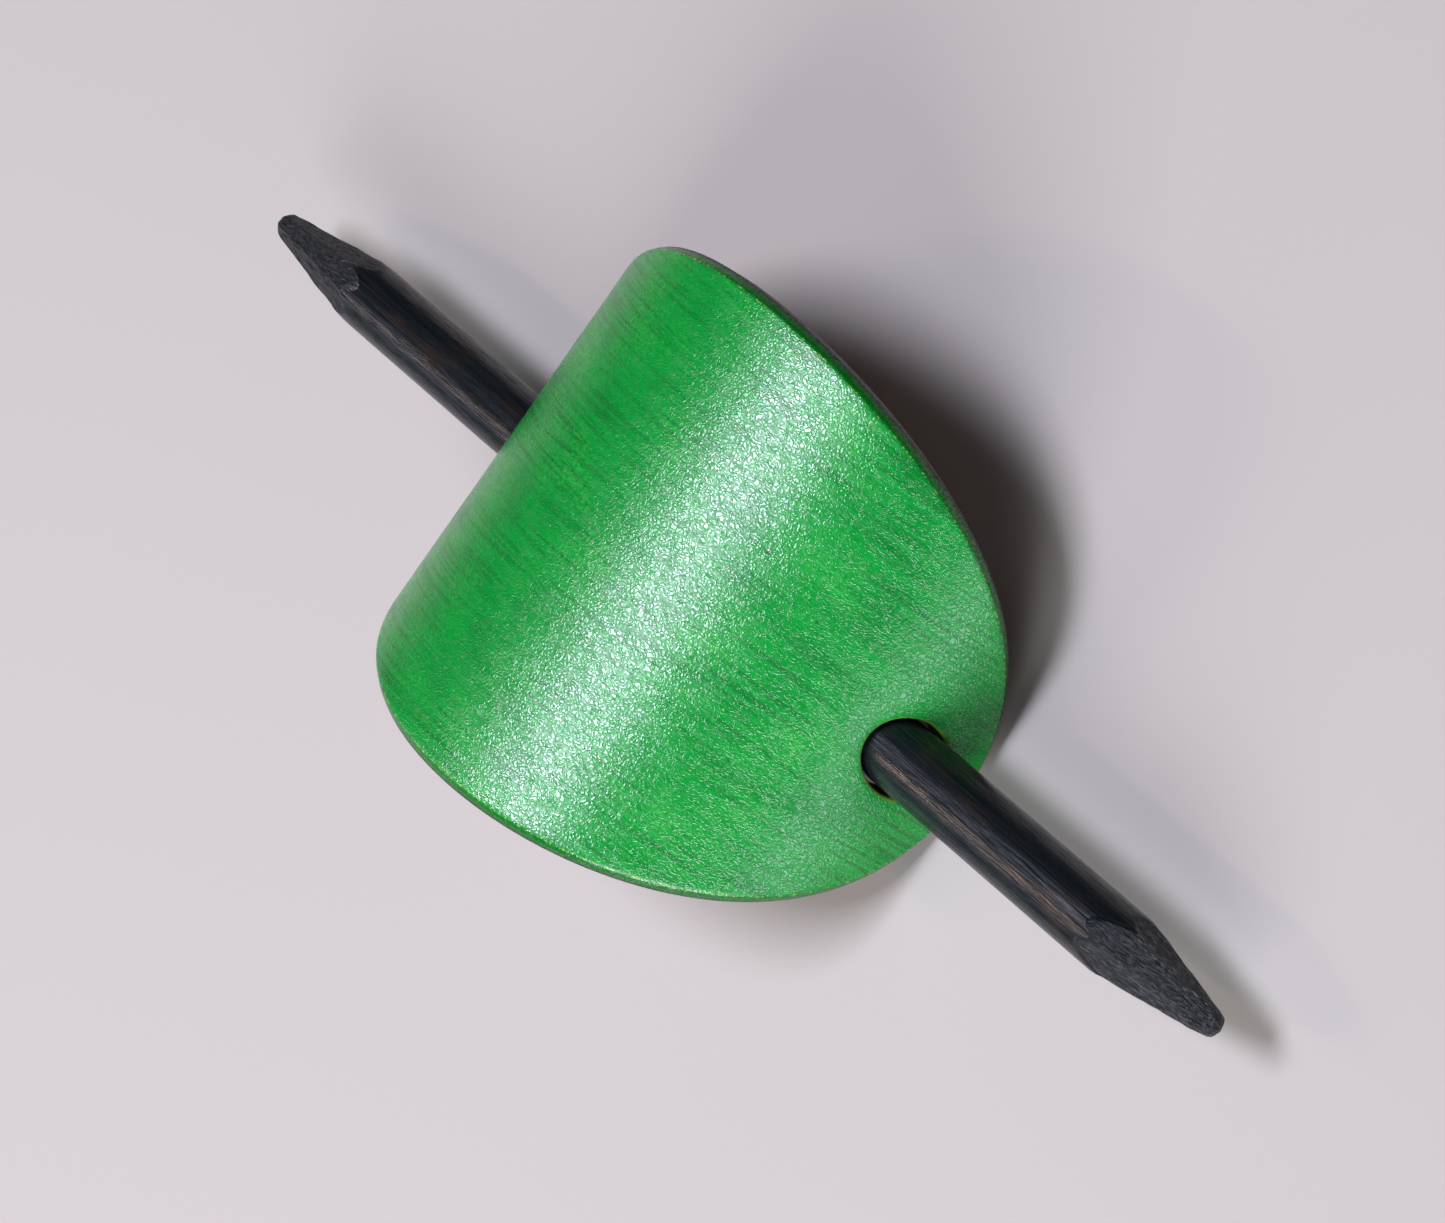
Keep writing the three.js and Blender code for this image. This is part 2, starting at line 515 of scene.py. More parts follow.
@dataclass(frozen=True)
class StainedWood:
    """Close-grained hardwood dowel: stained black, oiled, with whittled points.

    The eye sees a near-black satin rod with fine lengthwise lines, a hint of brown where the
    stain has worn, and rougher torn grain where the knife has cut.
    """

    stain: str = "#0c1112"
    grain: str = "#171c1e"
    worn: str = "#251c18"
    # Length along the stick and width across it of each pattern.
    line_size: Pair = (14.0, 0.14)
    pore_size: Pair = (2.6, 0.1)
    wear_size: Pair = (9.0, 2.2)
    tear_size: Pair = (2.2, 0.3)
    chip_size: Pair = (0.7, 0.22)
    relief: float = 0.015
    roughness: float = 0.24
    cut_roughness: float = 0.38
    cut_relief: float = 22.0
    ior: float = 1.46

    def material(self) -> bpy.types.Material:
        """Build the wood's material on object coordinates, with the grain along X.

        Returns:
            The material.
        """
        mat = bpy.data.materials.new("hardwood_stained_black_oiled")
        tree = empty_tree(mat)
        place = add(tree, "ShaderNodeTexCoord", output="Object")
        cut = add(tree, "ShaderNodeAttribute", {"attribute_name": "cut"}, output="Fac")
        lines = self._streaks(tree, place, *self.line_size)
        pores = self._streaks(tree, place, *self.pore_size)
        patches = self._streaks(tree, place, *self.wear_size)
        light = add(tree, RANGE, None, {0: lines, 1: 0.38, 2: 0.68})
        wear = add(tree, RANGE, None, {0: patches, 1: 0.56, 2: 0.72})
        colour = coats(tree, self.stain, [(light, self.grain), (wear, self.worn)])
        torn = self._streaks(tree, place, *self.tear_size)
        chips = self._streaks(tree, place, *self.chip_size)
        torn = add(tree, MATH, PLUS, {0: torn, 1: chips})
        torn = add(tree, MATH, TIMES, {0: torn, 1: cut})
        torn = add(tree, MATH, TIMES, {0: torn, 1: self.cut_relief})
        height = add(tree, MATH, PLUS, {0: lines, 1: pores})
        height = add(tree, MATH, PLUS, {0: height, 1: torn})
        bump = {"Height": height, "Distance": self.relief * MM, "Strength": 1.0}
        normal = add(tree, "ShaderNodeBump", None, bump)
        low, high = self.roughness - 0.06, self.roughness + 0.08
        rough = add(tree, RANGE, None, {0: lines, 1: 0.3, 2: 0.7, 3: low, 4: high})
        dull = add(tree, MIX, BLEND, {"Factor": cut, "A": rough, "B": self.cut_roughness})
        # Oil shines on the ridges of the grain, and on the torn fibres of a cut.
        ridges = add(tree, RANGE, None, {0: pores, 1: 0.38, 2: 0.64, 3: 0.06, 4: 0.62})
        flecks = add(tree, RANGE, None, {0: chips, 1: 0.44, 2: 0.68, 3: 0.26, 4: 0.9})
        gloss = add(tree, MIX, BLEND, {"Factor": cut, "A": ridges, "B": flecks})
        look = {
            "Base Color": colour,
            "Roughness": dull,
            "Normal": normal,
            "IOR": self.ior,
            "Specular IOR Level": gloss,
        }
        shader = add(tree, "ShaderNodeBsdfPrincipled", None, look)
        add(tree, "ShaderNodeOutputMaterial", None, {"Surface": shader})
        return mat

    def _streaks(self, tree: Tree, place: Socket, length: float, width: float) -> Socket:
        """Noise drawn out along the stick.

        Args:
            tree: The material's tree.
            place: Object coordinates, in metres.
            length: Feature length along the grain, in millimetres.
            width: Feature width across the grain, in millimetres.

        Returns:
            The noise factor's socket.
        """
        scale = (1 / (length * MM), 1 / (width * MM), 1 / (width * MM))
        placed = add(tree, VECTOR_MATH, TIMES, {0: place, 1: scale})
        pattern = {"Vector": placed, "Scale": 1.0, "Detail": 3.0, "Roughness": 0.6}
        return add(tree, NOISE, None, pattern)


@dataclass(frozen=True)
class PaleFloor:
    """Matt studio board: a plain pale surface with nothing on it."""

    colour: str = "#a8a49c"
    roughness: float = 0.9
    gloss: float = 0.2

    def material(self) -> bpy.types.Material:
        """Build the board's material.

        Returns:
            The material.
        """
        mat = bpy.data.materials.new("matt_studio_board")
        tree = empty_tree(mat)
        look = {
            "Base Color": linear(self.colour),
            "Roughness": self.roughness,
            "Specular IOR Level": self.gloss,
        }
        shader = add(tree, "ShaderNodeBsdfPrincipled", None, look)
        add(tree, "ShaderNodeOutputMaterial", None, {"Surface": shader})
        return mat


@dataclass
class LeatherPlate:
    """The oval: cut flat with two holes, then bent to the arch by a node tree."""

    bend: Bend = field(default_factory=Bend)
    finish: DyedLeather = field(default_factory=DyedLeather)
    hole_radius: float = 3.65
    spacing: float = 0.75
    outline_points: int = 320
    hole_points: int = 84
    wall_rows: int = 4
    # Depth below the face against distance in from the outline: a bevel, then a burnished round.
    grain_bevel: Profile = (
        (0.0, 1.0),
        (0.05, 0.8),
        (0.17, 0.6),
        (0.35, 0.4),
        (0.55, 0.2),
        (0.7, 0.08),
        (0.85, 0.02),
        (1.1, 0.0),
    )
    flesh_bevel: Profile = ((0.0, 0.7), (0.17, 0.4), (0.55, 0.1), (0.85, 0.0))
    # The same round a punched hole, against distance out from its edge.
    hole_round: Profile = ((0.0, 0.36), (0.06, 0.2), (0.16, 0.09), (0.35, 0.03), (0.7, 0.0))
    hole_rings: tuple[float, ...] = (0.0, 0.06, 0.16, 0.35, 0.7, 1.2, 1.8)
    # How far from a hole its slant and the dish pressed round it die away, and the dish's depth.
    slant_fade: float = 3.2
    dish_fade: float = 1.6
    dish: float = 0.24
    # The hide's slow swell and its small dimples: how deep, and their two sizes.
    unevenness: float = 0.14
    swell_sizes: Pair = (9.0, 2.2)
    seed: float = 3.0
    # The bend is worked out a little past the oval's ends, so that no point falls off it.
    overrun: float = 1.0

    def __post_init__(self) -> None:
        """Read where the frame puts the arch and the stick."""
        low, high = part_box("leather_plate")
        stick_low, stick_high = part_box("wooden_stick")
        self.centre_x = (low.x + high.x) / 2 / MM
        self.crown_z = high.z / MM
        self.stick_drop = (stick_low.z + stick_high.z) / 2 / MM - self.crown_z

    def hole_outline(self, side: int, depth: float) -> np.ndarray:
        """A hole's outline on the sheet, where a bore along X meets it at some depth.

        Args:
            side: 1 for the +X hole and -1 for the other.
            depth: Millimetres below the grain.

        Returns:
            Points (s, y) round the hole.
        """
        turn = np.linspace(0.0, 2 * math.pi, self.hole_points, endpoint=False)
        height = self.stick_drop + self.hole_radius * np.sin(turn)
        s = self.bend.reach(height, depth)
        return np.stack([side * s, self.hole_radius * np.cos(turn)], 1)

    def outline(self, inset: float) -> np.ndarray:
        """The oval's outline, moved inwards along its normal.

        Args:
            inset: Millimetres in from the cut edge.

        Returns:
            Points (s, y), evenly spaced round the oval.
        """
        a, b = self.bend.half_length, self.bend.half_width
        fine = np.linspace(0.0, 2 * math.pi, 4001)
        curve = np.stack([a * np.cos(fine), b * np.sin(fine)], 1)
        run = np.concatenate([[0.0], np.cumsum(np.linalg.norm(np.diff(curve, axis=0), axis=1))])
        even = np.linspace(0.0, run[-1], self.outline_points, endpoint=False)
        turn = np.interp(even, run, fine)
        normal = np.stack([b * np.cos(turn), a * np.sin(turn)], 1)
        normal /= np.linalg.norm(normal, axis=1, keepdims=True)
        return np.stack([a * np.cos(turn), b * np.sin(turn)], 1) - inset * normal

    def flat_points(self) -> tuple[np.ndarray, list[tuple[int, int]], list[np.ndarray]]:
        """Every point of the sheet seen flat, with the rings that its edges follow.

        Returns:
            The points, the ring edges, and the point numbers of the outline and the two holes.
        """
        loops = [(self.outline(inset), inset == 0.0) for inset, _ in self.grain_bevel]
        for side in (1, -1):
            hole = self.hole_outline(side, 0.0)
            middle = hole.mean(0)
            for out in self.hole_rings:
                wider = middle + (hole - middle) * (1 + out / self.hole_radius)
                loops.append((wider, out == 0.0))
        edges: list[tuple[int, int]] = []
        borders: list[np.ndarray] = []
        start = 0
        for loop, border in loops:
            ids = start + np.arange(len(loop))
            edges.extend(zip(ids.tolist(), np.roll(ids, -1).tolist()))
            start += len(loop)
            if border:
                borders.append(ids)
        points = [loop for loop, _ in loops] + [self._filling()]
        return np.concatenate(points), edges, borders

    def _filling(self) -> np.ndarray:
        """A triangular lattice over the flat of the sheet, clear of every ring.

        Returns:
            Points (s, y).
        """
        a, b, step = self.bend.half_length, self.bend.half_width, self.spacing
        rows = []
        for i, y in enumerate(np.arange(-b, b, step * math.sqrt(3) / 2)):
            s = np.arange(-a, a, step) + (i % 2) * step / 2
            rows.append(np.stack([s, np.full_like(s, y)], 1))
        grid = np.concatenate(rows)
        keep = self.margin_of(grid) > self.grain_bevel[-1][0] + step * 0.5
        keep &= self.rim_of(grid)[0] > self.hole_rings[-1] + step * 0.5
        return grid[keep]

    def margin_of(self, flat: np.ndarray) -> np.ndarray:
        """Distance in from the outline, exact at the outline and close to it near by.

        Args:
            flat: Points (s, y).

        Returns:
            Distances in millimetres.
        """
        a, b = self.bend.half_length, self.bend.half_width
        level = (flat[:, 0] / a) ** 2 + (flat[:, 1] / b) ** 2
        steep = 2 * np.sqrt((flat[:, 0] / a**2) ** 2 + (flat[:, 1] / b**2) ** 2)
        return np.maximum((1 - level) / np.maximum(steep, 1e-3), 0.0)

    def rim_of(self, flat: np.ndarray) -> tuple[np.ndarray, np.ndarray, np.ndarray]:
        """Distance out from the nearer hole, with its side and the turn round it.

        Args:
            flat: Points (s, y).

        Returns:
            Distances, sides (1 or -1) and turns in radians.
        """
        hole = self.hole_outline(1, 0.0)
        middle = hole.mean(0)
        side = np.where(flat[:, 0] < 0, -1.0, 1.0)
        away = np.stack([np.abs(flat[:, 0]), flat[:, 1]], 1) - middle
        turn = np.arctan2(away[:, 0], away[:, 1])
        own = self._round_hole(turn, np.linalg.norm(hole - middle, axis=1))
        share = np.linalg.norm(away, axis=1) / own
        return np.maximum((share - 1) * self.hole_radius, 0.0), side, turn

    def _round_hole(self, turn: np.ndarray, values: np.ndarray) -> np.ndarray:
        """Read values given round the +X hole's outline at any turn round it.

        Args:
            turn: Turns in radians.
            values: One value for each point of the hole's outline.

        Returns:
            The values at those turns.
        """
        hole = self.hole_outline(1, 0.0)
        away = hole - hole.mean(0)
        return np.interp(turn, np.arctan2(away[:, 0], away[:, 1]), values, period=2 * math.pi)

    def slant(self, flat: np.ndarray, depth: np.ndarray) -> np.ndarray:
        """How far a hole's edge moves along the sheet at a depth, fading around the hole.

        The punch goes straight along the stick, so it crosses the leaning sheet at a slant.

        Args:
            flat: Points (s, y) on the grain face.
            depth: Millimetres below the grain at each point.

        Returns:
            Shifts in s for the same points.
        """
        rim, side, turn = self.rim_of(flat)
        move = self.hole_outline(1, self.bend.thickness) - self.hole_outline(1, 0.0)
        shift = self._round_hole(turn, move[:, 0])
        return side * shift * depth / self.bend.thickness * np.exp(-((rim / self.slant_fade) ** 2))

    def cut_flat(self) -> bpy.types.Object:
        """Cut the oval flat, as one closed mesh with its depth downwards.

        Returns:
            The mesh object, with the sheet, margin and rim attributes.
        """
        flat, edges, borders = self.flat_points()
        found = delaunay_2d_cdt([Vector(p) for p in flat], edges, [], 0, 1e-6)
        verts = np.array([(v.x, v.y) for v in found[0]])
        tris = np.array(found[2])
        centres = verts[tris].mean(1)
        tris = tris[self.rim_of(centres)[0] > 0]
        where = {old: new for new, olds in enumerate(found[3]) for old in olds}
        margin, rim = self.margin_of(verts), self.rim_of(verts)[0]
        rounded = self._profile(self.hole_round, rim)
        top = np.maximum(self._profile(self.grain_bevel, margin), rounded)
        top += self.dish * np.exp(-((rim / self.dish_fade) ** 2))
        low = np.maximum(self._profile(self.flesh_bevel, margin), rounded)
        under = self.bend.thickness - low
        count = len(verts)
        places = [
            np.column_stack([verts[:, 0] + self.slant(verts, depth), verts[:, 1], depth])
            for depth in (top, under)
        ]
        margins, rims = [margin, margin], [rim, rim]
        faces = [tuple(t) for t in tris] + [tuple(t[::-1] + count) for t in tris]
        total = 2 * count
        for border in borders:
            ids = np.array([where[i] for i in border])
            rows = [ids]
            for k in range(1, self.wall_rows + 1):
                share = k / (self.wall_rows + 1)
                places.append(places[0][ids] * (1 - share) + places[1][ids] * share)
                margins.append(margin[ids])
                rims.append(rim[ids])
                rows.append(np.arange(total, total + len(ids)))
                total += len(ids)
            rows.append(ids + count)
            for upper, lower in zip(rows[:-1], rows[1:]):
                for i in range(len(ids)):
                    j = (i + 1) % len(ids)
                    faces.append((upper[i], lower[i], lower[j], upper[j]))
        sheet = np.concatenate(places)
        mesh = bpy.data.meshes.new("leather_plate_flat")
        position = sheet * np.array([1, 1, -1]) * MM
        mesh.from_pydata(position.tolist(), [], [[int(i) for i in f] for f in faces])
        store(mesh, "sheet", "FLOAT_VECTOR", "vector", sheet)
        store(mesh, "margin", "FLOAT", "value", np.concatenate(margins))
        store(mesh, "rim", "FLOAT", "value", np.concatenate(rims))
        face_outwards(mesh)
        return put("leather_plate_flat", mesh)

    @staticmethod
    def _profile(points: Profile, value: np.ndarray) -> np.ndarray:
        """Read a profile, given as (distance, depth) pairs, at many distances."""
        return np.interp(value, [p[0] for p in points], [p[1] for p in points])

    def bend_tree(self, material: bpy.types.Material) -> Tree:
        """The node tree that bends a flat sheet round the arch.

        Args:
            material: The finish that the bent sheet is given.

        Returns:
            The tree, whose named inputs are the bend's sizes.
        """
        tree = bpy.data.node_groups.new("bend_sheet_round_arch", "GeometryNodeTree")
        tree.is_modifier = True
        face = tree.interface
        face.new_socket("Geometry", in_out="INPUT", socket_type="NodeSocketGeometry")
        sizes = ("Half length", "Bend rate", "Bend gain", "Crown x", "Crown z", "Relief", "Seed")
        for name in sizes:
            face.new_socket(name, in_out="INPUT", socket_type="NodeSocketFloat")
        face.new_socket("Geometry", in_out="OUTPUT", socket_type="NodeSocketGeometry")
        given = tree.nodes.new("NodeGroupInput").outputs
        spine, steps, step = self._spine(tree, given)
        here = add(tree, "GeometryNodeInputPosition")
        along, across, above = (
            add(tree, "ShaderNodeSeparateXYZ", None, {0: here}, axis) for axis in "XYZ"
        )
        start = add(tree, MATH, PLUS, {0: along, 1: given["Half length"]})
        place = add(tree, MATH, OVER, {0: start, 1: step})
        whole = add(tree, MATH, {"operation": "FLOOR"}, {0: place})
        after = add(tree, MATH, PLUS, {0: whole, 1: 1.0})
        share = add(tree, MATH, {"operation": "FRACT"}, {0: place})
        sampled = {"data_type": "FLOAT_VECTOR", "domain": "POINT", "clamp": True}
        curve = {"Geometry": spine, "Value": add(tree, "GeometryNodeInputPosition")}
        before, behind, top = (
            add(tree, "GeometryNodeSampleIndex", sampled, {**curve, "Index": i})
            for i in (whole, after, steps // 2)
        )
        base = add(tree, MIX, {"data_type": "VECTOR"}, {"Factor": share, "A": before, "B": behind})
        base = add(tree, VECTOR_MATH, MINUS, {0: base, 1: top})
        lean = self._lean(tree, given, along)
        sine = add(tree, MATH, {"operation": "SINE"}, {0: lean})
        cosine = add(tree, MATH, {"operation": "COSINE"}, {0: lean})
        outward = add(tree, "ShaderNodeCombineXYZ", None, {"X": sine, "Z": cosine})
        lift = self._relief(tree, given, here, above)
        lift = add(tree, VECTOR_MATH, {"operation": "SCALE"}, {0: outward, "Scale": lift})
        crown_place = {"X": given["Crown x"], "Y": across, "Z": given["Crown z"]}
        offset = add(tree, "ShaderNodeCombineXYZ", None, crown_place)
        moved = add(tree, VECTOR_MATH, PLUS, {0: base, 1: lift})
        moved = add(tree, VECTOR_MATH, PLUS, {0: moved, 1: offset})
        # The feet are flat where the slide stands.
        moved = add(tree, VECTOR_MATH, {"operation": "MAXIMUM"}, {0: moved, 1: (-1.0, -1.0, 0.0)})
        placed = {"Geometry": given["Geometry"], "Position": moved}
        bent = add(tree, "GeometryNodeSetPosition", None, placed)
        bent = add(tree, "GeometryNodeSetShadeSmooth", None, {"Geometry": bent})
        bent = add(tree, "GeometryNodeRealizeInstances", None, {"Geometry": bent})
        bent = add(tree, "GeometryNodeSetMaterial", None, {"Geometry": bent, "Material": material})
        add(tree, "NodeGroupOutput", None, {0: bent})
        return tree

    def _lean(self, tree: Tree, given: bpy.types.NodeOutputs, s: Socket) -> Socket:
        """Lean of the sheet at an arc length, as nodes.

        Args:
            tree: The bend's tree.
            given: The tree's inputs.
            s: Arc length from the crown, in metres.

        Returns:
            The lean in radians.
        """
        share = add(tree, MATH, OVER, {0: s, 1: given["Half length"]})
        share = add(tree, MATH, {"operation": "POWER"}, {0: share, 1: 2.0})
        rate = add(tree, MATH, TIMES_PLUS, {0: share, 1: given["Bend gain"], 2: given["Bend rate"]})
        return add(tree, MATH, TIMES, {0: rate, 1: s})

    def _spine(self, tree: Tree, given: bpy.types.NodeOutputs) -> tuple[Socket, int, Socket]:
        """The arch's own curve, added up step by step from its lean.

        Args:
            tree: The bend's tree.
            given: The tree's inputs.

        Returns:
            The curve's points, the number of steps, and the length of a step.
        """
        steps = self.bend.steps
        length = given["Half length"]
        step = add(tree, MATH, TIMES, {0: length, 1: 2 / steps})
        first = add(tree, MATH, TIMES, {0: length, 1: -1.0})
        first = add(tree, "ShaderNodeCombineXYZ", None, {"X": first})
        stride = add(tree, "ShaderNodeCombineXYZ", None, {"X": step})
        row = {"Count": steps + 1, "Start Location": first, "Offset": stride}
        line = add(tree, "GeometryNodeMeshLine", {"mode": "OFFSET"}, row)
        here = add(tree, "GeometryNodeInputPosition")
        s = add(tree, "ShaderNodeSeparateXYZ", None, {0: here}, "X")
        middle = add(tree, MATH, TIMES_PLUS, {0: step, 1: 0.5, 2: s})
        lean = self._lean(tree, given, middle)
        run = add(tree, MATH, {"operation": "COSINE"}, {0: lean})
        run = add(tree, MATH, TIMES, {0: run, 1: step})
        fall = add(tree, MATH, {"operation": "SINE"}, {0: lean})
        fall = add(tree, MATH, TIMES, {0: fall, 1: step})
        summed = {"data_type": "FLOAT", "domain": "POINT"}
        x = add(tree, "GeometryNodeAccumulateField", summed, {0: run}, "Trailing")
        drop = add(tree, "GeometryNodeAccumulateField", summed, {0: fall}, "Trailing")
        z = add(tree, MATH, TIMES, {0: drop, 1: -1.0})
        target = add(tree, "ShaderNodeCombineXYZ", None, {"X": x, "Z": z})
        spine = add(tree, "GeometryNodeSetPosition", None, {"Geometry": line, "Position": target})
        return spine, steps, step

    def _relief(
        self,
        tree: Tree,
        given: bpy.types.NodeOutputs,
        here: Socket,
        above: Socket,
    ) -> Socket:
        """Height of each point over the bent grain line, with the hide's slow unevenness.

        Args:
            tree: The bend's tree.
            given: The tree's inputs.
            here: The flat sheet's positions.
            above: Height over the flat grain face, which is negative inside the sheet.

        Returns:
            Heights in metres.
        """
        swell, dimple = (
            add(
                tree,
                NOISE,
                {"noise_dimensions": "4D"},
                {"Vector": here, "W": given["Seed"], "Scale": 1 / (size * MM), "Detail": 2.0},
            )
            for size in self.swell_sizes
        )
        dimple = add(tree, MATH, TIMES, {0: dimple, 1: 0.06})
        both = add(tree, MATH, PLUS, {0: swell, 1: dimple})
        # Measured from near the noise's top, so that the hide sinks and stays inside its box.
        both = add(tree, MATH, MINUS, {0: both, 1: 0.75})
        return add(tree, MATH, TIMES_PLUS, {0: both, 1: given["Relief"], 2: above})

    def build(self) -> bpy.types.Object:
        """Cut, bend and dress the plate, and put it on its body.

        Returns:
            The finished piece.
        """
        flat = self.cut_flat()
        material = self.finish.material()
        tree = self.bend_tree(material)
        reach = self.bend.half_length + self.overrun
        sizes = {
            "Half length": reach * MM,
            "Bend rate": self.bend.rate / MM,
            "Bend gain": self.bend.gain * (reach / self.bend.half_length) ** 2 / MM,
            "Crown x": self.centre_x * MM,
            "Crown z": self.crown_z * MM,
            "Relief": self.unevenness * MM,
            "Seed": self.seed,
        }
        bender = flat.modifiers.new("bend", "NODES")
        bender.node_group = tree
        for item in tree.interface.items_tree:
            if item.in_out == "INPUT" and item.name in sizes:
                bender[item.identifier] = sizes[item.name]
        graph = bpy.context.evaluated_depsgraph_get()
        mesh = bpy.data.meshes.new_from_object(flat.evaluated_get(graph))
        mesh.name = "oval_leather_plate"
        piece = put("oval_leather_plate", mesh)
        bpy.data.objects.remove(flat)
        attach(piece, Body.PLATE.value)
        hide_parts("leather_plate")
        return piece


@dataclass
class WoodenStick:
    """The stick: a straight round rod, whittled with a knife to a blunt point at each end."""

    finish: StainedWood = field(default_factory=StainedWood)
    tip_radius: float = 1.1
    # Turn from the top towards -Y in degrees, and length in millimetres, of each knife cut.
    left_cuts: Profile = (
        (-112.0, 16.0),
        (-58.0, 15.6),
        (-8.0, 15.4),
        (38.0, 15.2),
        (86.0, 14.8),
        (140.0, 15.0),
        (196.0, 15.6),
    )
    right_cuts: Profile = (
        (-104.0, 11.9),
        (-66.0, 12.5),
        (-6.0, 14.6),
        (36.0, 15.0),
        (88.0, 13.4),
        (142.0, 12.8),
        (200.0, 12.2),
    )
    belly: float = 0.93
    # The flats of the cuts meet the point at this share of its radius.
    flat_share: float = 0.9
    # Wood this far below the round is fully bare.
    bare_depth: float = 0.12
    # A cut reaches round the stick to where this is the cosine of the turn from its middle.
    least_facing: float = 0.2
    # The gouge's distance from the point, its turn in degrees and its depth.
    gouge: tuple[float, float, float] = (2.0, 24.0, 0.42)
    gouge_size: Pair = (0.75, 0.28)
    around: int = 144
    fine_step: float = 0.13
    body_step: float = 0.9
    tear: float = 0.1
    tear_size: Pair = (3.2, 0.62)

    def __post_init__(self) -> None:
        """Read the rod's length, thickness and place from the frame."""
        low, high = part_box("wooden_stick")
        self.half = (high.x - low.x) / 2 / MM
        self.radius = (high.z - low.z) / 2 / MM
        self.centre = (low + high) / 2 / MM

    def stations(self) -> np.ndarray:
        """Places along the rod, close together where the knife has worked.

        Returns:
            Places in millimetres from the rod's middle, in order.
        """
        # The knife's work ends 2 mm past the longest cut.
        worked = max(length for _, length in self.left_cuts + self.right_cuts) + 2.0
        left = np.arange(0.0, worked, self.fine_step) - self.half
        right = -left[::-1]
        gap = right[0] - left[-1]
        body = np.linspace(left[-1], right[0], int(gap / self.body_step) + 1)[1:-1]
        return np.concatenate([left, body, right])

    def radii(self, x: float, turns: np.ndarray) -> np.ndarray:
        """The rod's radius all round at one station, before the grain tears.

        Args:
            x: Place along the rod, from its middle.
            turns: Turns round the rod, in radians.

        Returns:
            Radii in millimetres.
        """
        left = self.half - abs(x)
        reach = np.full_like(turns, self.radius)
        start = self.tip_radius * self.flat_share
        for turn, length in self.right_cuts if x > 0 else self.left_cuts:
            flat = start + (self.radius - start) * min(left / length, 1.5) ** self.belly
            facing = np.cos(turns - math.radians(turn))
            chord = flat / np.maximum(facing, self.least_facing)
            reach = np.where(facing > self.least_facing, np.minimum(reach, chord), reach)
        if left < self.tip_radius:
            reach *= math.sqrt(max(1 - (1 - left / self.tip_radius) ** 2, 0.0))
        if x > 0:
            # One chip lifted out of the near point, where the knife caught the grain.
            place, turn, depth = self.gouge
            long, wide = self.gouge_size
            across = (turns - math.radians(turn) + math.pi) % (2 * math.pi) - math.pi
            reach -= depth * np.exp(-(((left - place) / long) ** 2) - (across * reach / wide) ** 2)
        return reach

    def build(self) -> bpy.types.Object:
        """Shape the rod, dress it and put it on its body.

        Returns:
            The finished piece.
        """
        turns = np.linspace(0.0, 2 * math.pi, self.around, endpoint=False)
        long, wide = self.tear_size
        verts: list[tuple[float, float, float]] = []
        cut: list[float] = []
        stations = self.stations()[1:-1]
        for x in stations:
            reach = self.radii(x, turns)
            bare = np.clip((self.radius - reach) / self.bare_depth, 0.0, 1.0)
            for turn, r, w in zip(turns, reach, bare):
                spot = Vector((x / long, math.cos(turn) * r / wide, math.sin(turn) * r / wide))
                ridge = noise.fractal(spot, 1.0, 2.0, 2)
                r += self.tear * w * (ridge - 0.4) * min(1.0, (self.half - abs(x)) / 1.5)
                verts.append((x, -math.sin(turn) * r, math.cos(turn) * r))
                cut.append(float(w))
        n = self.around
        faces = [
            (i * n + j, (i + 1) * n + j, (i + 1) * n + (j + 1) % n, i * n + (j + 1) % n)
            for i in range(len(stations) - 1)
            for j in range(n)
        ]
        ends = (len(verts), len(verts) + 1)
        verts += [(-self.half, 0.0, 0.0), (self.half, 0.0, 0.0)]
        cut += [1.0, 1.0]
        last = (len(stations) - 1) * n
        faces += [(ends[0], j, (j + 1) % n) for j in range(n)]
        faces += [(ends[1], last + (j + 1) % n, last + j) for j in range(n)]
        mesh = bpy.data.meshes.new("whittled_wooden_stick")
        place = (np.array(verts) + np.array(self.centre)) * MM
        mesh.from_pydata(place.tolist(), [], faces)
        store(mesh, "cut", "FLOAT", "value", np.array(cut))
        face_outwards(mesh)
        mesh.shade_smooth()
        mesh.materials.append(self.finish.material())
        piece = put("whittled_wooden_stick", mesh)
        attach(piece, Body.STICK.value)
        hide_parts("wooden_stick")
        return piece


@dataclass(frozen=True)
class Softbox:
    """A rectangular studio light that faces the object, its distance and size in metres."""

    name: str
    azimuth: float
    elevation: float
    distance: float
    size: Pair
    power: float
    colour: str = "#ffffff"
    along: tuple[float, float, float] = (0.0, 1.0, 0.0)

    def place(self, target: Vector) -> None:
        """Hang the light in its direction from the target, with its length along one way.

        Args:
            target: The point it faces, in metres.
        """
        away = direction(self.azimuth, self.elevation)
        length = Vector(self.along)
        length = (length - away * length.dot(away)).normalized()
        lamp = bpy.data.lights.new(self.name, "AREA")
        lamp.shape = "RECTANGLE"
        lamp.size, lamp.size_y = self.size
        lamp.energy = self.power
        lamp.color = linear(self.colour)[:3]
        holder = put(self.name, lamp)
        turn = Matrix((length, away.cross(length), away)).transposed()
        holder.matrix_world = Matrix.Translation(target + away * self.distance) @ turn.to_4x4()
        holder.visible_camera = False


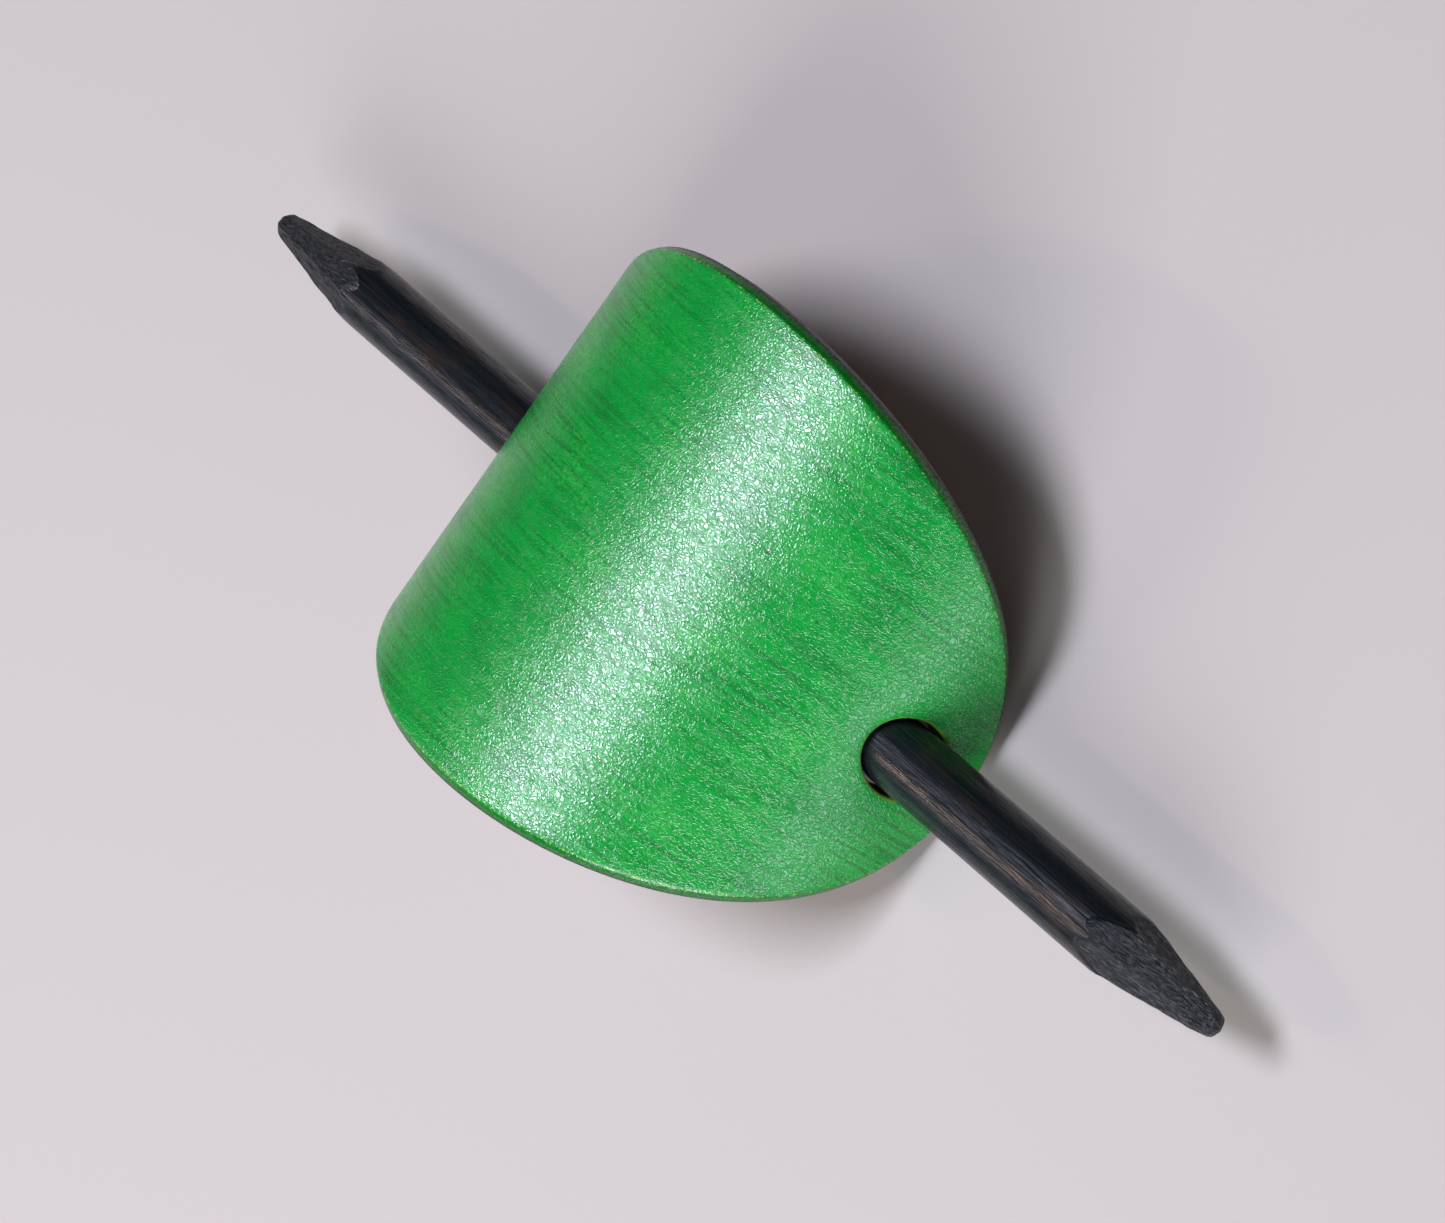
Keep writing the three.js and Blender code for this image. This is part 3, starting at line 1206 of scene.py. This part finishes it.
@dataclass
class Studio:
    """The floor, the lights and the camera."""

    target: tuple[float, float, float] = (8.61, 0.85, 16.7)
    camera_azimuth: float = 12.0
    camera_elevation: float = 51.93
    camera_roll: float = -64.22
    camera_distance: float = 566.0
    lens: float = 164.5
    floor: PaleFloor = field(default_factory=PaleFloor)
    # Half the board's side, in metres.
    floor_half: float = 4.0
    world_colour: str = "#e4e8ec"
    world_strength: float = 0.03
    lights: tuple[Softbox, ...] = (
        Softbox("key", -139.5, 78.8, 0.75, (0.4, 0.19), 7.6, "#e8e8ff", (-0.83, 0.56, 0.0)),
        Softbox("side_fill", -50.0, 24.0, 0.8, (0.5, 0.5), 9.0, "#f4f5ff"),
        Softbox("low_front", -8.0, 8.0, 0.8, (0.5, 0.26), 1.8, "#e8ebff"),
        Softbox("back_fill", -133.0, 26.0, 0.8, (0.7, 0.4), 0.9, "#e6e9ff", (1.0, 0.0, 0.0)),
        Softbox("warm_strip", -134.6, 40.9, 0.75, (0.25, 0.03), 0.95, "#ffdccc", (1.0, 0.0, 0.0)),
    )

    def build(self) -> None:
        """Lay the floor, hang the lights and set the camera."""
        self._floor()
        target = Vector(self.target) * MM
        for light in self.lights:
            light.place(target)
        self._world()
        self._camera(target)
        bpy.context.scene.view_settings.view_transform = "Standard"

    def _floor(self) -> None:
        """A plain pale board under the object."""
        h = self.floor_half
        mesh = bpy.data.meshes.new("studio_floor")
        mesh.from_pydata([(-h, -h, 0), (h, -h, 0), (h, h, 0), (-h, h, 0)], [], [(0, 1, 2, 3)])
        mesh.materials.append(self.floor.material())
        board = put("studio_floor", mesh)

    def _world(self) -> None:
        """Even, faint light from all round."""
        world = bpy.data.worlds.new("studio")
        tree = empty_tree(world)
        sky = {"Color": linear(self.world_colour), "Strength": self.world_strength}
        glow = add(tree, "ShaderNodeBackground", None, sky)
        add(tree, "ShaderNodeOutputWorld", None, {"Surface": glow})
        bpy.context.scene.world = world

    def _camera(self, target: Vector) -> None:
        """A long lens, tilted about its own axis.

        Args:
            target: The point at the middle of the view, in metres.
        """
        back = direction(self.camera_azimuth, self.camera_elevation)
        lens = bpy.data.cameras.new("camera")
        lens.lens = self.lens
        lens.clip_start, lens.clip_end = 0.01, 20.0
        camera = put("camera", lens)
        level = (-back).to_track_quat("-Z", "Y").to_matrix().to_4x4()
        tilt = Matrix.Rotation(math.radians(self.camera_roll), 4, "Z")
        place = Matrix.Translation(target + back * self.camera_distance * MM)
        camera.matrix_world = place @ level @ tilt
        bpy.context.scene.camera = camera


def main() -> None:
    """Build the studio, the leather plate and the wooden stick."""
    logging.basicConfig(level=logging.INFO, format="%(message)s")
    Studio().build()
    for maker in (LeatherPlate(), WoodenStick()):
        piece = maker.build()
        LOG.info("%s: %d faces", piece.name, len(piece.data.polygons))


if __name__ == "__main__":
    main()
